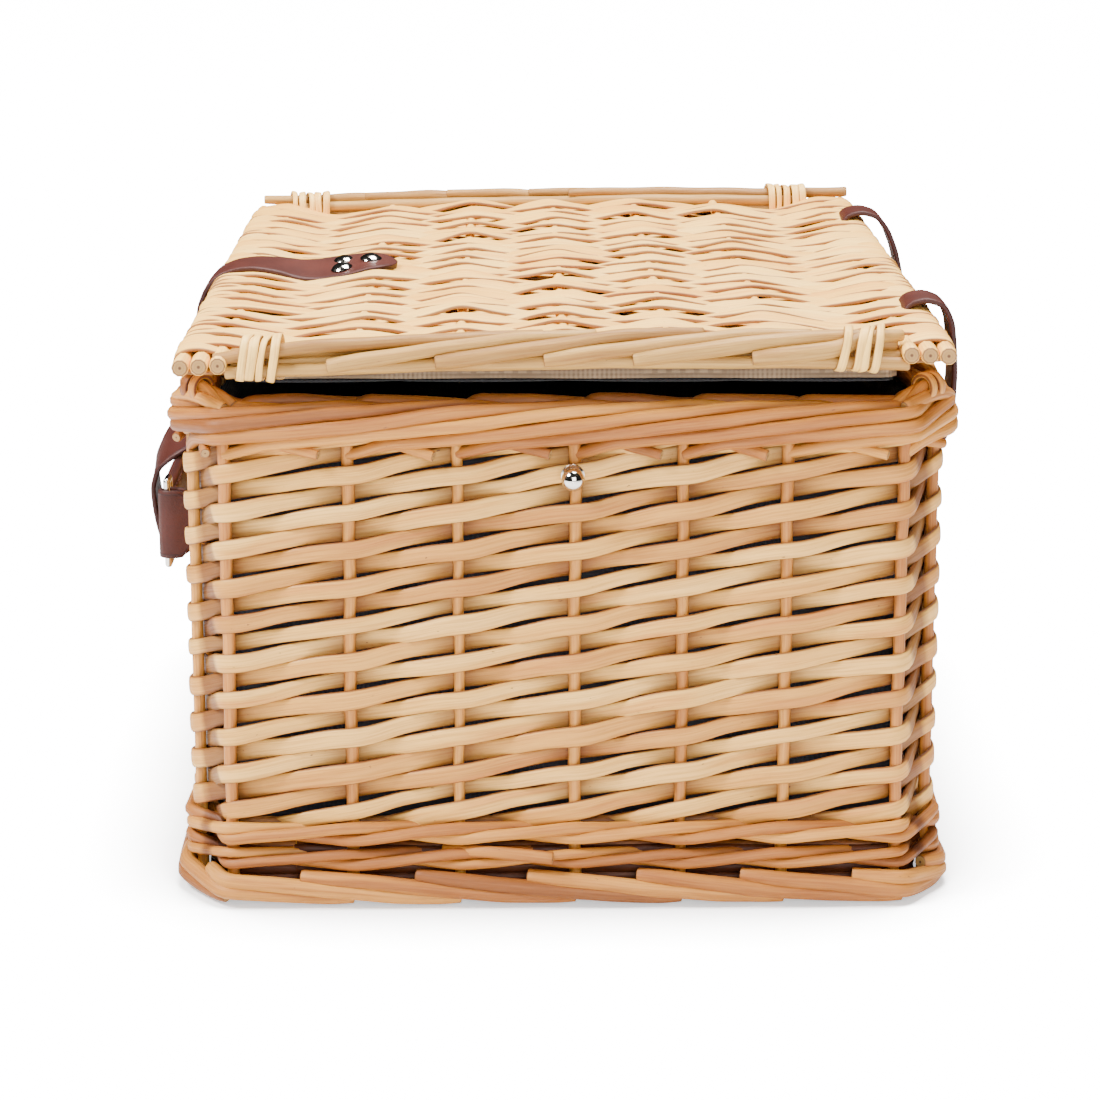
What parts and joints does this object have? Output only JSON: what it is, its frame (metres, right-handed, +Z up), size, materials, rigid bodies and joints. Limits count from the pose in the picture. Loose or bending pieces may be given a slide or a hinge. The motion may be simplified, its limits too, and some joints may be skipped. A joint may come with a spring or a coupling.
{
  "type": "wicker picnic basket",
  "caption": "Lidded rectangular wicker basket with a fabric lining, leather hinge loops, a leather closure strap, a front carry handle and ball studs.",
  "frame": {"origin": "on the ground, under the middle of the body", "axes": "+X along the length to the right end, +Y to the hinge side, -Y the front with the strap and handle, +Z up"},
  "size_m": [0.4184, 0.3273, 0.2202],
  "materials": {
    "willow": "satin peeled willow",
    "border_willow": "satin peeled willow, a little darker",
    "lid_willow": "satin split willow, light",
    "leather": "smooth burgundy brown leather, satin",
    "nickel": "polished nickel plate",
    "navy_fabric": "plain navy cotton",
    "check_fabric": "fine beige check cotton"
  },
  "bodies": {
    "basket": {"foot_border": "border_willow", "base_sticks": "willow", "base_weave": "willow", "wale_front": "willow", "wale_back": "willow", "wale_left": "willow", "wale_right": "willow", "stakes_front": "willow", "stakes_back": "willow", "stakes_left": "willow", "stakes_right": "willow", "siding_front": "willow", "siding_back": "willow", "siding_left": "willow", "siding_right": "willow", "rim_front": "border_willow", "rim_back": "border_willow", "rim_left": "border_willow", "rim_right": "border_willow", "rim_knot_front_left": "border_willow", "rim_knot_front_right": "border_willow", "rim_knot_back_left": "border_willow", "rim_knot_back_right": "border_willow", "lining_front": "navy_fabric", "lining_back": "navy_fabric", "lining_left": "navy_fabric", "lining_right": "navy_fabric", "lining_floor": "navy_fabric", "hinge_wall_end_left": "leather", "hinge_wall_end_right": "leather", "handle_anchor_left": "leather", "handle_anchor_right": "leather", "end_stud_left": "nickel", "end_stud_right": "nickel", "front_stud": "nickel", "stud_washers": "nickel", "stud_nuts": "nickel"},
    "lid": {"lid_sticks": "lid_willow", "lid_weave": "lid_willow", "lid_end_left": "lid_willow", "lid_end_right": "lid_willow", "lid_lashings": "lid_willow", "lid_lining": "navy_fabric", "lid_lining_band": "check_fabric", "hinge_lid_end_left": "leather", "hinge_lid_end_right": "leather", "closure_strap_base": "leather", "strap_rivets": "nickel"},
    "closure": {"closure_strap": "leather"},
    "handle": {"handle_strap": "leather", "handle_ring_left": "nickel", "handle_ring_right": "nickel", "handle_tab_left": "leather", "handle_tab_right": "leather"}
  },
  "joints": [
    {"name": "lid_hinge", "type": "hinge", "parent": "basket", "child": "lid", "pos_m": [0, 0.144, 0.203], "axis": [-1, 0, 0], "range_deg": [0, 105]},
    {"name": "strap_lift", "type": "hinge", "parent": "lid", "child": "closure", "pos_m": [0, -0.142, 0.218], "axis": [-1, 0, 0], "range_deg": [0, 120]},
    {"name": "handle_tilt", "type": "hinge", "parent": "basket", "child": "handle", "pos_m": [0, -0.14575, 0.1175], "axis": [-1, 0, 0], "range_deg": [0, 28]}
  ]
}
